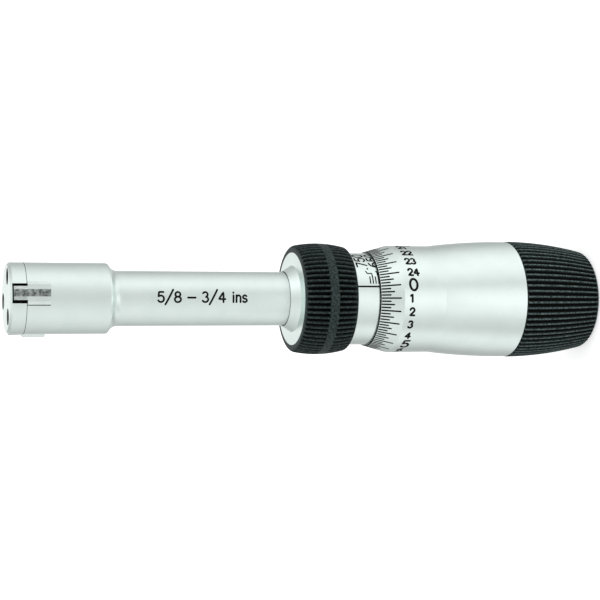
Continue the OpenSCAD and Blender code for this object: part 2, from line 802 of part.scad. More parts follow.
measuring_head();
head_cap();
cap_screws();
retracting_ring();
frame_collar();
grip_ring();
sleeve();
barrel();
adjusting_nut();
rod_bush();
push_rod();
measuring_cone();
thrust_ball();
spring_collar();
return_spring();
spindle();
thimble();
ratchet_driver();
ratchet_screw();
ratchet_knob();
ratchet_disc();
ratchet_spring();
anvil_1();
anvil_2();
anvil_3();
anvil_tip_1();
anvil_tip_2();
anvil_tip_3();
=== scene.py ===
# %% [markdown]
# # A three-point inside micrometer, dressed for the studio
#
# The tool measures bores: a cone in its head spreads three contacts as the thimble turns. Its imported CAD
# model is the fixed frame of this lesson. It stands on the end of its ratchet knob, with the axis on Z and
# the measuring head at the top, and everything made here is in metres in that same frame.

# %% Load the frame
import math

import bpy
import numpy as np
from mathutils import Matrix, Vector


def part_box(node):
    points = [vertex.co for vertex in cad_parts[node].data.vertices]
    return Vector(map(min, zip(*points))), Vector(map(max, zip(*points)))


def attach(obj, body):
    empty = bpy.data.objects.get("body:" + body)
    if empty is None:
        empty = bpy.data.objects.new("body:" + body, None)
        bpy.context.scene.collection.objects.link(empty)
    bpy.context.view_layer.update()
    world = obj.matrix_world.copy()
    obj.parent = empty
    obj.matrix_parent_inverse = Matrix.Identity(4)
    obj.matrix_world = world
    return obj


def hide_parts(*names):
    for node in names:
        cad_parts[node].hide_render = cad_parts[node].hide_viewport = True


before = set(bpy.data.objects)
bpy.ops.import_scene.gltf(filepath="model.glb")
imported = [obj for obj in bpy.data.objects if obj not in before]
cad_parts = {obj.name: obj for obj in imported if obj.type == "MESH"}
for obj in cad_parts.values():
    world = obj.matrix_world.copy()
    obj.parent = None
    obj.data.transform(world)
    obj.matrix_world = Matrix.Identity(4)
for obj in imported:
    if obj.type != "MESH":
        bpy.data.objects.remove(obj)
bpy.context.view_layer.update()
MM = 0.001

# %% [markdown]
# The new pieces have to meet the solids. Their heights could be copied from the CAD source, but then a
# change there would leave them behind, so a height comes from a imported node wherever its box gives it. Only
# what a box hides, such as the shank's radius behind a wider head or the full round of a fluted piece, is
# written down, where it is first needed.


# %% Measure the nodes
def reach(node):
    """Lowest height, highest height and largest radius of a node, in millimetres."""
    low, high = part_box(node)
    return low.z / MM, high.z / MM, max(high.x, high.y, -low.x, -low.y) / MM


knob_z0, knob_z1 = reach("ratchet_knob")[:2]
ring_z0, ring_z1 = reach("grip_ring")[:2]
edge_z = reach("thimble")[1]
sleeve_r = reach("sleeve")[2]
print("reading edge at", round(edge_z, 2), "ring from", round(ring_z0, 2), "to", round(ring_z1, 2))

# %% [markdown]
# Every new piece is a grid of points worked out with numpy. It could be modelled by hand or with modifiers,
# but a grid keeps the formula in view and gives clean rows of faces. Two helpers serve all pieces: one
# lists the four-sided faces of a grid, closed in either direction where a seam has to meet itself, and one
# puts points and faces into a mesh at the origin and lets the object ride on its body.

# %% Helpers for grids and meshes
SHARP = math.radians(35)


def grid_quads(rows, cols, wrap_rows=False, wrap_cols=False):
    """Faces of a grid of rows x cols points: a point, its neighbour in the row, and the two above them."""
    i = np.arange(rows if wrap_rows else rows - 1)[:, None]
    j = np.arange(cols if wrap_cols else cols - 1)[None, :]
    up, across = (i + 1) % rows, (j + 1) % cols
    return np.stack([i * cols + j, i * cols + across, up * cols + across, up * cols + j], -1).reshape(-1, 4)


def put_mesh(name, points, quads, material, body=None, hollow=None):
    """Points in millimetres and faces become a smooth-shaded object that rides on a body. A value per point
    may come along as the attribute hollow, for a material to use."""
    mesh = bpy.data.meshes.new(name)
    mesh.from_pydata((np.asarray(points) * MM).tolist(), [], np.asarray(quads).tolist())
    mesh.polygons.foreach_set("use_smooth", np.ones(len(mesh.polygons), bool))
    mesh.set_sharp_from_angle(angle=SHARP)
    mesh.materials.append(material)
    if hollow is not None:
        values = np.ravel(hollow).astype(np.float32)
        mesh.attributes.new("hollow", "FLOAT", "POINT").data.foreach_set("value", values)
    piece = bpy.data.objects.new(name, mesh)
    bpy.context.scene.collection.objects.link(piece)
    if body:
        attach(piece, body)
    print(name, len(mesh.vertices), "points,", len(mesh.polygons), "faces")
    return piece


print("a closed grid of 3 x 4 points has", len(grid_quads(3, 4, True, True)), "faces")

# %% [markdown]
# ## Camera
#
# The photograph shows the tool lying across the frame, seen a little from its measuring end. The model
# stands upright. It could be laid down for the picture, but it would leave the shared frame, so the camera
# is rolled a quarter turn instead: up the axis becomes left in the picture. The camera aims at a point near
# the grip ring, from a place beyond the head.

# %% Place the camera
AIM = Vector((-0.00027, 0.0, 0.0677))
DISTANCE = 0.350
AZIMUTH, ELEVATION = math.radians(-8.0), math.radians(17.5)
TILT = math.radians(0.09)
LENS, SENSOR = 95.6, 36.0
NEAR, FAR = 0.01, 20.0
level = math.cos(ELEVATION)
back = Vector((math.sin(AZIMUTH) * level, -math.cos(AZIMUTH) * level, math.sin(ELEVATION)))
right = (back * back.z - Vector((0, 0, 1))).normalized()
facing = Matrix((right, back.cross(right), back)).transposed() @ Matrix.Rotation(TILT, 3, "Z")
camera = bpy.data.objects.new("camera", bpy.data.cameras.new("camera"))
camera.data.lens = LENS
camera.data.sensor_width = SENSOR
camera.data.clip_start, camera.data.clip_end = NEAR, FAR
camera.matrix_world = Matrix.Translation(AIM + back * DISTANCE) @ facing.to_4x4()
bpy.context.scene.collection.objects.link(camera)
bpy.context.scene.camera = camera
bpy.context.scene.view_settings.view_transform = "Standard"
print("camera at", [round(v, 4) for v in camera.location])

# %% [markdown]
# ## Materials
#
# A finish could be one flat colour, but real metal and plastic vary a little everywhere. So each finish is
# a small tree of nodes on Object coordinates, which for these pieces are metres in the shared frame. First
# come helpers that start a material, add a node, and give sockets a value or a link.


# %% Helpers for node trees
def new_material(name, colour):
    """A fresh Principled material, with a colour for the viewport; returned with its tree and its shader."""
    material = bpy.data.materials.new(name)
    material.use_nodes = True
    material.diffuse_color = (*colour, 1.0)
    tree = material.node_tree
    return material, tree, tree.nodes["Principled BSDF"]


def plug(tree, socket, value):
    """Gives a socket a value, or a link from another node's output."""
    if isinstance(value, bpy.types.NodeSocket):
        tree.links.new(value, socket)
    else:
        socket.default_value = value


def fill(tree, node, **sockets):
    """Plugs several sockets of a node by name; underscores stand for spaces."""
    for key, value in sockets.items():
        plug(tree, node.inputs[key.replace("_", " ")], value)
    return node


def add(tree, kind, settings=(), **sockets):
    """Adds a node, with its settings and its sockets."""
    node = tree.nodes.new(kind)
    for key, value in dict(settings).items():
        setattr(node, key, value)
    return fill(tree, node, **sockets)


def maths(tree, operation, first, second):
    """One step of arithmetic on two outputs or numbers."""
    node = add(tree, "ShaderNodeMath", {"operation": operation})
    plug(tree, node.inputs[0], first)
    plug(tree, node.inputs[1], second)
    return node.outputs[0]


def between(tree, share, first, second):
    """Mixes two colours: all the first at a share of 0, all the second at 1. The Mix node has sockets for
    every kind of data under the same names, so those for colours are taken by number."""
    node = add(tree, "ShaderNodeMix", {"data_type": "RGBA"}, Factor=share)
    plug(tree, node.inputs[6], first)
    plug(tree, node.inputs[7], second)
    return node.outputs[2]


print("node helpers ready")

# %% [markdown]
# More helpers make the patterns. Noise stands for any grain, speckle or mottle, stretched where a tool has
# left lines. Its useful middle part is then spread over a range of numbers, or run between two colours.
# Image textures could do the same, but these patterns have no seams and need no file.


# %% Helpers for patterns
def object_place(tree):
    """The place on the piece, in metres of the shared frame."""
    return add(tree, "ShaderNodeTexCoord").outputs["Object"]


def noise(tree, scale, stretch=(1, 1, 1), detail=3.0):
    """Grain in Object coordinates; stretch squeezes it along an axis."""
    place = add(tree, "ShaderNodeMapping", Vector=object_place(tree), Scale=stretch).outputs["Vector"]
    return add(tree, "ShaderNodeTexNoise", Vector=place, Scale=scale, Detail=detail).outputs["Fac"]


def spread(tree, value, low, high, start=0.3, end=0.7):
    """Maps the part of a value between start and end to a range from low to high."""
    return add(tree, "ShaderNodeMapRange", Value=value, From_Min=start, From_Max=end,
               To_Min=low, To_Max=high).outputs["Result"]


def tint(tree, value, dark, light, start=0.3, end=0.7):
    """Runs the part of a value between start and end from a dark colour to a light one."""
    ramp = add(tree, "ShaderNodeValToRGB", Fac=value)
    for stop, position, colour in zip(ramp.color_ramp.elements, (start, end), (dark, light)):
        stop.position = position
        stop.color = (*colour, 1)
    return ramp.outputs["Color"]


print("pattern helpers ready")

# %% [markdown]
# The thimble, sleeve and frame are satin chrome: a fine matt plating, cool and slightly green, that blurs
# reflections into broad bands. The measuring strips are a darker, gritty hard metal, the screws are
# blackened and the works inside are oiled steel and bronze. Each could have a tree of its own. One recipe
# with other numbers is shorter and keeps them alike: a cloudy colour, and a fine grain that drives the
# roughness and stands as a slight bump.

# %% Plain metals
MOTTLE, MOTTLE_DETAIL = 260.0, 2.0
CHROME_DARK, CHROME_LIGHT = (0.765, 0.86, 0.83), (0.80, 0.895, 0.865)
CHROME_ROUGH, CHROME_GRAIN = (0.27, 0.35), 5200.0


def bare_metal(tree, shader, colour, fine, rough, bump=0.05, bump_mm=0.01):
    """Sets a metal shader: a colour, and a grain that varies the roughness and stands as a bump."""
    height = add(tree, "ShaderNodeBump", Strength=bump, Distance=bump_mm * MM, Height=fine).outputs["Normal"]
    fill(tree, shader, Base_Color=colour, Metallic=1.0, Roughness=spread(tree, fine, *rough), Normal=height)


def metal(name, dark, light, rough, grain, stretch=(1, 1, 1), mottle=MOTTLE, **bump):
    """A metal whose colour drifts between two tones at the scale of the mottle."""
    material, tree, shader = new_material(name, light)
    cloud = noise(tree, mottle, detail=MOTTLE_DETAIL)
    bare_metal(tree, shader, tint(tree, cloud, dark, light), noise(tree, grain, stretch), rough, **bump)
    return material


satin_chrome = metal("satin_chrome", CHROME_DARK, CHROME_LIGHT, CHROME_ROUGH, CHROME_GRAIN)
hard_metal = metal("hard_metal", (0.07, 0.08, 0.078), (0.42, 0.46, 0.45), (0.32, 0.6), 2200.0, (1, 1, 0.45),
                   mottle=1500.0, bump=0.8, bump_mm=0.08)
blackened_steel = metal("blackened_steel", (0.03, 0.032, 0.032), (0.06, 0.063, 0.063), (0.35, 0.5), 4000.0)
dark_steel = metal("dark_steel", (0.30, 0.32, 0.32), (0.40, 0.42, 0.42), (0.3, 0.42), 3500.0)
bronze = metal("bronze", (0.52, 0.35, 0.17), (0.64, 0.45, 0.23), (0.3, 0.45), 3000.0)
print("metals:", [m.name for m in (satin_chrome, hard_metal, blackened_steel, dark_steel, bronze)])

# %% [markdown]
# The contacts are ground steel with fine lines along the axis. Their tongues run in the windows of the cap,
# where the walls shade them, so ahead of the cap's joint the steel is painted darker as that shade, with a
# streaky grain. The faces of the tongues could be picked out of the mesh for a second material. But Object
# coordinates give the height directly, so one tree changes its tones at the joint.

# %% Ground steel
joint_z = reach("measuring_head")[1]
JOINT_BLUR = (-0.1, 0.15)
BLOCK_TONES = (0.70, 0.78, 0.752), (0.80, 0.88, 0.852)
# Ahead of the joint the tongues are painted darker, as the shade of the cap's windows.
TONGUE_SHADE_TONES = (0.29, 0.335, 0.325), (0.88, 0.95, 0.925)
GROUND_ROUGH, GROUND_GRAIN, GROUND_STRETCH, GROUND_BUMP = (0.2, 0.34), 9000.0, (1, 1, 0.08), 0.15


def ground_steel_skin():
    """Two pairs of tones, parted at the height of the cap's joint, under one lengthwise grain; the darker
    pair ahead of the joint is painted shade.
    """
    material, tree, shader = new_material("ground_steel", (0.84, 0.87, 0.86))
    fine, cloud = noise(tree, GROUND_GRAIN, GROUND_STRETCH), noise(tree, MOTTLE, detail=MOTTLE_DETAIL)
    height = add(tree, "ShaderNodeSeparateXYZ", Vector=object_place(tree)).outputs["Z"]
    ahead = spread(tree, height, 0.0, 1.0, *((joint_z + d) * MM for d in JOINT_BLUR))
    colour = between(tree, ahead, tint(tree, cloud, *BLOCK_TONES), tint(tree, fine, *TONGUE_SHADE_TONES))
    bare_metal(tree, shader, colour, fine, GROUND_ROUGH, GROUND_BUMP)
    return material


ground_steel = ground_steel_skin()
print("the contacts darken at", round(joint_z, 2), "mm")

# %% [markdown]
# The head and its cap are the same satin chrome outside, but the walls of their slots, windows and
# counterbores lie in shade, and that shade is painted into their colour. Those faces could be picked by hand
# as
# well, but here the finish finds them: what lies deeper than the skin of the head is painted dark, except the
# front face and the shank behind the shoulder. Near the front the measure is slanted, so that the rounded
# edge of the cap stays bright.

# %% Head chrome
front_z = reach("head_cap")[1]
SHOULDER_END = 112.1
SKIN_IN, SKIN_OUT, EDGE_L, FACE_BLUR = 7.2, 7.36, 1.0, 0.1
# Colour of the painted shade on the walls of the slots, windows and counterbores.
SLOT_SHADE = (0.012, 0.014, 0.014, 1)


def head_chrome_skin():
    """Bright at the radius of the skin, on the front face and behind the shoulder, and painted dark as shade
    elsewhere.
    """
    material, tree, shader = new_material("head_chrome", (0.82, 0.87, 0.85))
    fine, cloud = noise(tree, CHROME_GRAIN), noise(tree, MOTTLE, detail=MOTTLE_DETAIL)
    axes = add(tree, "ShaderNodeSeparateXYZ", Vector=object_place(tree)).outputs
    flat = add(tree, "ShaderNodeCombineXYZ", X=axes["X"], Y=axes["Y"]).outputs[0]
    girth = add(tree, "ShaderNodeVectorMath", {"operation": "LENGTH"}, Vector=flat).outputs["Value"]
    slant = spread(tree, axes["Z"], 0.0, EDGE_L * MM, (front_z - EDGE_L) * MM, front_z * MM)
    outside = spread(tree, maths(tree, "ADD", girth, slant), 0.0, 1.0, SKIN_IN * MM, SKIN_OUT * MM)
    face = spread(tree, axes["Z"], 0.0, 1.0, (front_z - 2 * FACE_BLUR) * MM, (front_z - FACE_BLUR) * MM)
    shank = spread(tree, axes["Z"], 1.0, 0.0, SHOULDER_END * MM, (SHOULDER_END + FACE_BLUR) * MM)
    skin = maths(tree, "MAXIMUM", maths(tree, "MAXIMUM", outside, face), shank)
    colour = between(tree, skin, SLOT_SHADE, tint(tree, cloud, CHROME_DARK, CHROME_LIGHT))
    bare_metal(tree, shader, colour, fine, CHROME_ROUGH)
    return material


head_chrome = head_chrome_skin()
print("front face at", round(front_z, 2), "mm")

# %% [markdown]
# The grip ring and the knob are moulded in black plastic with a dry, faintly speckled skin. The ridges
# are speckled grey, while the flutes between them are dull and painted black, as the shade of their depth.
# The flutes could be guessed from the curvature, but the pieces below know exactly where they are, so each
# point brings that along as the attribute hollow, from 0 on a ridge to 1 in a flute. The knob is the greyer
# one.

# %% Black plastic
SPECK, SPECK_DETAIL, SPECK_STOPS = 2600.0, 4.0, (0.36, 0.68)
SPECK_BUMP, SPECK_BUMP_MM = 0.4, 0.02
# The flutes are painted this black as their shade.
FLUTE_SHADE = (0.0008, 0.0011, 0.0011, 1)
RIDGE_ROUGH, FLUTE_ROUGH, PLASTIC_GLOSS = (0.36, 0.55), 0.9, 0.09


def black_plastic_skin(name, dark, light):
    """Black plastic: speckled grey on the ridges; dull in the flutes, and painted black there as their shade.
    """
    material, tree, shader = new_material(name, (0.012, 0.014, 0.014))
    speck = noise(tree, SPECK, detail=SPECK_DETAIL)
    hollow = add(tree, "ShaderNodeAttribute", {"attribute_name": "hollow"}).outputs["Fac"]
    colour = between(tree, hollow, tint(tree, speck, dark, light, *SPECK_STOPS), FLUTE_SHADE)
    rough = add(tree, "ShaderNodeMix", {"data_type": "FLOAT"}, Factor=hollow,
                A=spread(tree, speck, *RIDGE_ROUGH), B=FLUTE_ROUGH).outputs[0]
    height = add(tree, "ShaderNodeBump", Strength=SPECK_BUMP, Distance=SPECK_BUMP_MM * MM, Height=speck)
    fill(tree, shader, Base_Color=colour, Roughness=rough, Specular_IOR_Level=PLASTIC_GLOSS,
         Normal=height.outputs["Normal"])
    return material


ring_plastic = black_plastic_skin("ring_plastic", (0.009, 0.0145, 0.014), (0.045, 0.066, 0.065))
knob_plastic = black_plastic_skin("knob_plastic", (0.021, 0.033, 0.032), (0.132, 0.188, 0.183))
print("plastics:", ring_plastic.name, knob_plastic.name)

# %% [markdown]
# Lines and figures are cut into the metal and filled with a dull black paint. They could be a pattern in
# the finish of the metal, but thin lines are sharper as pieces of their own, which are laid on the metal
# further down. The paint is nearly without gloss, with a slight mottle, so that it stays black from any
# side.

# %% Line paint
PAINT_TONES = (0.002, 0.0025, 0.0025), (0.006, 0.007, 0.007)
PAINT_GRAIN, PAINT_ROUGH, PAINT_GLOSS = 2500.0, (0.55, 0.7), 0.08


def line_paint():
    """Dull black with a slight mottle in its colour and roughness."""
    material, tree, shader = new_material("line_paint", (0.01, 0.012, 0.012))
    mottle = noise(tree, PAINT_GRAIN)
    fill(tree, shader, Base_Color=tint(tree, mottle, *PAINT_TONES),
         Roughness=spread(tree, mottle, *PAINT_ROUGH), Specular_IOR_Level=PAINT_GLOSS)
    return material


paint = line_paint()
print("paint:", paint.name)

# %% [markdown]
# Most CAD nodes already have the right shape. They could be remade as grids too, but that would only risk
# new errors, so they keep their meshes and change their finish, by their material slots. The knob and the
# grip ring get their plastic here as well, though finer shells take their places below.

# %% Dress the CAD nodes
FINISH = {
    head_chrome: ["measuring_head", "head_cap"],
    satin_chrome: ["frame_collar", "sleeve", "thimble", "spindle", "push_rod", "ratchet_screw"],
    ground_steel: ["anvil_1", "anvil_2", "anvil_3"],
    hard_metal: ["anvil_tip_1", "anvil_tip_2", "anvil_tip_3"],
    blackened_steel: ["cap_screws", "retracting_ring"],
    dark_steel: ["return_spring", "ratchet_spring", "measuring_cone", "barrel", "adjusting_nut",
                 "ratchet_driver", "thrust_ball"],
    bronze: ["rod_bush", "spring_collar", "ratchet_disc"],
    ring_plastic: ["grip_ring"],
    knob_plastic: ["ratchet_knob"],
}
for material, nodes in FINISH.items():
    for node in nodes:
        for material_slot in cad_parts[node].material_slots:
            material_slot.material = material
print("dressed", sum(len(nodes) for nodes in FINISH.values()), "nodes")

# %% [markdown]
# ## Fluted pieces
#
# The knob and the grip ring are turned outlines with narrow flutes. The flutes could be cut with booleans,
# but those leave ragged shading. Here the surface is worked out as a whole: an outline in radius and height
# is carried round the axis, and a flute pulls the radius in towards its floor, as far as the outline stands
# above that floor. So the flutes run out by themselves at the rounded ends, as a cutter leaves them.

# %% Outline helpers
SAME_POINT = 1e-5


def arc(r, z, radius, start_deg, end_deg, count):
    """Points of a circular arc in the plane of radius and height."""
    a = np.radians(np.linspace(start_deg, end_deg, count))
    return np.stack([r + radius * np.cos(a), z + radius * np.sin(a)], -1)


def line(start, end, count):
    """Points of a straight line, both ends included."""
    t = np.linspace(0, 1, count)[:, None]
    return np.asarray(start, float) * (1 - t) + np.asarray(end, float) * t


def joined(*runs):
    """Runs of points one after the other, with repeated points left out."""
    points = np.concatenate(runs)
    keep = np.append(True, np.abs(np.diff(points, axis=0)).max(1) > SAME_POINT)
    return points[keep]


def full_turn(count):
    """Angles once round the axis, as a row."""
    return np.linspace(0, 2 * math.pi, count, endpoint=False)[None, :]


def round_surface(outline, radius, turn):
    """Carries an outline round the axis: x = r cos, y = r sin, with r given for each height and angle."""
    z = np.broadcast_to(outline[:, 1:2], radius.shape)
    return np.stack([radius * np.cos(turn), radius * np.sin(turn), z], -1).reshape(-1, 3)


print("a quarter arc of radius 1 ends at", arc(0, 0, 1, 0, 90, 5)[-1].round(3))

# %% [markdown]
# A flute has sloping walls and a flat floor. Straight lines could draw it, but moulded edges are never
# quite sharp. So its cross-section is a share from 0 on the ridge to 1 on the floor with a smooth S
# between, and light rolls over the ridges.


# %% Flute helpers
def smooth_step(x):
    """Zero below 0, one above 1, and a smooth S between."""
    x = np.clip(x, 0, 1)
    return x * x * (3 - 2 * x)


def groove_share(turn, count, half_top, half_floor):
    """How far each angle lies in a flute: 0 on a ridge, 1 on the floor; halves are shares of the pitch."""
    across = np.abs((turn * count / (2 * math.pi)) % 1.0 - 0.5)
    return smooth_step((half_top - across) / (half_top - half_floor))


FLUTES, PER_FLUTE = 64, 14
turn = full_turn(FLUTES * PER_FLUTE)
print("points round a fluted piece:", turn.size)

# %% [markdown]
# The knob swells along a long arc towards the thimble and rounds off at its end, where a recess shows the
# head of the ratchet screw. A sheet over the outside would do for the picture. But the outline goes right
# round the wall, over the crown, down the bore with its four key slots, through the web that runs on the
# screw and back along the recess, so that the knob is one closed shell, as the moulding is.

# %% Ratchet knob
KNOB_R, KNOB_CROWN, KNOB_END, KNOB_FRONT = 13.15, 78.0, 1.2, 0.2
WEB_Z0, WEB_Z1, BORE_R, HOLE_R, RECESS_R = 4.4, 6.6, 9.0, 2.83, 5.2
KEY_R, KEY_HALF, QUARTER = 9.9, 1.23, math.pi / 2
# The last number is a power on the flute share: it sets how broadly the painted shade of the flutes spreads.
KNOB_DEPTH, KNOB_GROOVE, KNOB_SHADE_SPREAD = 0.45, (0.40, 0.18), 0.3
knob_mid = KNOB_R - KNOB_CROWN
end_r = knob_mid + math.sqrt((KNOB_CROWN - KNOB_END) ** 2 - (KNOB_END - knob_z1) ** 2)
front_r = knob_mid + math.sqrt((KNOB_CROWN - KNOB_FRONT) ** 2 - KNOB_FRONT ** 2)
meet_end = math.degrees(math.atan2(KNOB_END - knob_z1, end_r - knob_mid))
meet_front = -math.degrees(math.asin(KNOB_FRONT / (KNOB_CROWN - KNOB_FRONT)))
knob_outline = joined(
    line((RECESS_R, knob_z0), (end_r, knob_z0), 4),
    arc(end_r, KNOB_END, KNOB_END, -90, meet_end, 9),
    arc(knob_mid, knob_z1, KNOB_CROWN, meet_end, meet_front, 24),
    arc(front_r, knob_z1 - KNOB_FRONT, KNOB_FRONT, meet_front, 90, 4),
    line((front_r, knob_z1), (BORE_R, knob_z1), 4),
    line((BORE_R, knob_z1), (BORE_R, WEB_Z1), 2),
    line((BORE_R, WEB_Z1), (HOLE_R, WEB_Z1), 2),
    line((HOLE_R, WEB_Z1), (HOLE_R, WEB_Z0), 2),
    line((HOLE_R, WEB_Z0), (RECESS_R, WEB_Z0), 2),
    line((RECESS_R, WEB_Z0), (RECESS_R, knob_z0), 3))[:-1]
r, z = knob_outline[:, :1], knob_outline[:, 1:]
floor_r = knob_mid + np.sqrt((KNOB_CROWN - KNOB_DEPTH) ** 2 - (knob_z1 - z) ** 2)
depth = np.clip(r - floor_r, 0, None)
share = groove_share(turn, FLUTES, *KNOB_GROOVE)
in_key = np.abs((turn + QUARTER / 2) % QUARTER - QUARTER / 2) * BORE_R < KEY_HALF
on_bore = np.abs(r - BORE_R) < SAME_POINT
radius = np.where(on_bore & in_key, KEY_R, r - share * depth)
# The attribute hollow carries the painted shade of the flutes, full where they are deep.
knob = put_mesh("knob_shell", round_surface(knob_outline, radius, turn),
                grid_quads(len(knob_outline), turn.size, True, True), knob_plastic, "knob",
                hollow=share ** KNOB_SHADE_SPREAD * smooth_step(depth / KNOB_DEPTH))
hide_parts("ratchet_knob")

# %% [markdown]
# The grip ring is pressed on the frame and is crowned more strongly. Its flutes stop at a smooth band a
# little behind the middle, and their floor is a plain cylinder, so towards both rims they get shallower
# and end in a point. Evenly spaced rows of points would blur the band, so extra rows stand at its edges,
# where the flutes have to start sharply.

# %% Grip ring
RING_R, RING_CROWN, CROWN_AT, RING_FRONT, RING_REAR = 12.21, 25.0, 6.9, 0.9, 0.6
BAND_AT, BAND_W, BAND_EASE, REAR_TRIM, BORE_GAP = 6.2, 1.9, 0.12, 0.6, 0.015
# The last number is the flute depth at which the painted shade of the flutes is full.
RING_DEPTH, RING_GROOVE, RING_SHADE_DEPTH = 0.95, (0.33, 0.2), 0.4
ring_rear, ring_bore = ring_z0 + REAR_TRIM, sleeve_r + BORE_GAP
crown_z, band_z, ring_mid = ring_z0 + CROWN_AT, ring_z0 + BAND_AT, RING_R - RING_CROWN
rear_up, face_up = ring_rear + RING_REAR - crown_z, ring_z1 - RING_FRONT - crown_z
rear_r = ring_mid + math.sqrt((RING_CROWN - RING_REAR) ** 2 - rear_up ** 2)
face_r = ring_mid + math.sqrt((RING_CROWN - RING_FRONT) ** 2 - face_up ** 2)
meet_rear = math.degrees(math.atan2(rear_up, rear_r - ring_mid))
meet_face = math.degrees(math.atan2(face_up, face_r - ring_mid))
band_edges = np.array([-BAND_W / 2 - BAND_EASE, -BAND_W / 2, BAND_W / 2, BAND_W / 2 + BAND_EASE])
band_rows = np.arcsin((band_z + band_edges - crown_z) / RING_CROWN)
rows = np.sort(np.append(np.radians(np.linspace(meet_rear, meet_face, 40)), band_rows))
ring_outline = joined(
    line((ring_bore, ring_rear), (rear_r, ring_rear), 3),
    arc(rear_r, ring_rear + RING_REAR, RING_REAR, -90, meet_rear, 7),
    np.stack([ring_mid + RING_CROWN * np.cos(rows), crown_z + RING_CROWN * np.sin(rows)], -1),
    arc(face_r, ring_z1 - RING_FRONT, RING_FRONT, meet_face, 90, 9),
    line((face_r, ring_z1), (ring_bore, ring_z1), 3),
    line((ring_bore, ring_z1), (ring_bore, ring_rear), 2))[:-1]
r, z = ring_outline[:, :1], ring_outline[:, 1:]
off_band = 1 - smooth_step((BAND_W / 2 + BAND_EASE - np.abs(z - band_z)) / BAND_EASE)
depth = np.clip(r - (RING_R - RING_DEPTH), 0, None) * off_band
share = groove_share(turn, FLUTES, *RING_GROOVE)
# The attribute hollow carries the painted shade of the flutes, fading where they run out shallow.
ring = put_mesh("grip_ring_shell", round_surface(ring_outline, r - share * depth, turn),
                grid_quads(len(ring_outline), turn.size, True, True), ring_plastic, "frame",
                hollow=share * smooth_step(depth / RING_SHADE_DEPTH))
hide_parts("grip_ring")

# %% [markdown]
# ## Lines and figures
#
# Graduations are strokes of paint in engraved lines. Text objects would bring a font that doesn't look
# engraved, and they would have to be bent round the metal. So a stroke is a path on the surface with a
# width: the path is given in millimetres along the axis and round the girth, its two edges are offset to
# both sides, its ends are rounded, and the whole is laid on the turned outline a hair above the metal.

# %% Strokes on a turned surface
LIFT, DEPTH = 0.012, 0.05
CAP_STEPS = np.radians([80.0, 55.0, 25.0])


def ribbon(path, width):
    """Edges of a stroke: the path shifted by half the width to both sides, narrowing to round ends."""
    path = np.asarray(path, float)
    along = np.gradient(path, axis=0)
    along /= np.linalg.norm(along, axis=1, keepdims=True)
    beyond, narrow = width / 2 * np.sin(CAP_STEPS), width / 2 * np.cos(CAP_STEPS)
    start = path[0] - along[0] * beyond[:, None]
    end = path[-1] + along[-1] * beyond[::-1, None]
    half = np.concatenate([narrow, np.full(len(path), width / 2), narrow[::-1]])
    path = np.concatenate([start, path, end])
    along = np.concatenate([0 * start + along[0], along, 0 * end + along[-1]])
    side = np.stack([-along[:, 1], along[:, 0]], -1) * half[:, None]
    return np.stack([path - side, path + side], 1)


def lay(strokes, width, radius_at):
    """Solid strokes on a turned surface. A stroke is its angle round the axis and a path of (height, girth)
    from there; it gets a top just above the surface, a bottom just below and walls, as one closed strip."""
    points, quads, count = [], [], 0
    for angle, path in strokes:
        edges = ribbon(path, width)
        height, girth = edges[..., 0], edges[..., 1]
        surface = radius_at(height)
        turned = angle + girth / surface
        top, bottom = (np.stack([(surface + d) * np.cos(turned), (surface + d) * np.sin(turned), height], -1)
                       for d in (LIFT, -DEPTH))
        loop = np.stack([top[:, 0], top[:, 1], bottom[:, 1], bottom[:, 0]], 1)
        n = len(loop)
        ends = np.array([[3, 2, 1, 0], [4 * n - 4, 4 * n - 3, 4 * n - 2, 4 * n - 1]])
        points.append(loop.reshape(-1, 3))
        quads.append(np.concatenate([grid_quads(n, 4, False, True), ends]) + count)
        count += 4 * n
    return np.concatenate(points), np.concatenate(quads)


def paint_strokes(name, strokes, width, radius_at, body):
    """Lays strokes and puts them into one piece of paint that rides on a body."""
    points, quads = lay(strokes, width, radius_at)
    return put_mesh(name, points, quads, paint, body)


print("a stroke stands", LIFT, "mm above the metal")

# %% [markdown]
# The thimble has a hundred lines, four to each of its twenty-five figures: long at a figure, middling
# half-way and short between. An array of one line about the axis would do, but the lengths differ, so a
# small function gives each its own path. The lines lie on the bevel, so the surface under them is a cone
# that rises from the reading edge. Seen from the front the figures climb downwards, so the angle runs
# backwards.

# %% Thimble graduations
EDGE_R, STRAIGHT_R, BEVEL_L = 10.45, 11.9, 5.1
INDEX_ANGLE = math.radians(-82.7)
LINES, LINE_W = 100, 0.335
LINE_START, LINE_ENDS = 0.42, (4.3, 2.15, 2.9, 2.15)


def thimble_radius(z):
    """Radius of the thimble: the bevel rises straight from the reading edge to the straight part."""
    return EDGE_R + (STRAIGHT_R - EDGE_R) * np.clip((edge_z - z) / BEVEL_L, 0, 1)


def thimble_line(k):
    """A line along the axis at step k: from just behind the reading edge to the end of its length."""
    z = np.linspace(edge_z - LINE_START, edge_z - LINE_ENDS[k % 4], 5)
    return INDEX_ANGLE - 2 * math.pi * k / LINES, np.stack([z, 0 * z], -1)


paint_strokes("thimble_lines", [thimble_line(k) for k in range(LINES)], LINE_W, thimble_radius, "thimble")

# %% [markdown]
# Figures are drawn as an engraver cuts them, in single strokes with round ends. A font holds the outlines
# of its signs, which would have to be thinned to look cut. So each figure is its width and a list of paths
# in a box one unit high; parts of ellipses and straight runs make them all.


# %% A single-stroke alphabet
def bow(x, y, rx, ry, start, end, count=15):
    """Part of an ellipse, from one angle to another in degrees."""
    a = np.radians(np.linspace(start, end, count))
    return np.stack([x + rx * np.cos(a), y + ry * np.sin(a)], -1)


def run(*points):
    """A path of straight pieces, with points close together so that corners stay sharp."""
    points = np.asarray(points, float)
    return np.concatenate([line(a, b, 6)[:-1] for a, b in zip(points[:-1], points[1:])] + [points[-1:]])


def one(*parts):
    """Several paths as one stroke, cut without lifting the tool."""
    return np.concatenate(parts)


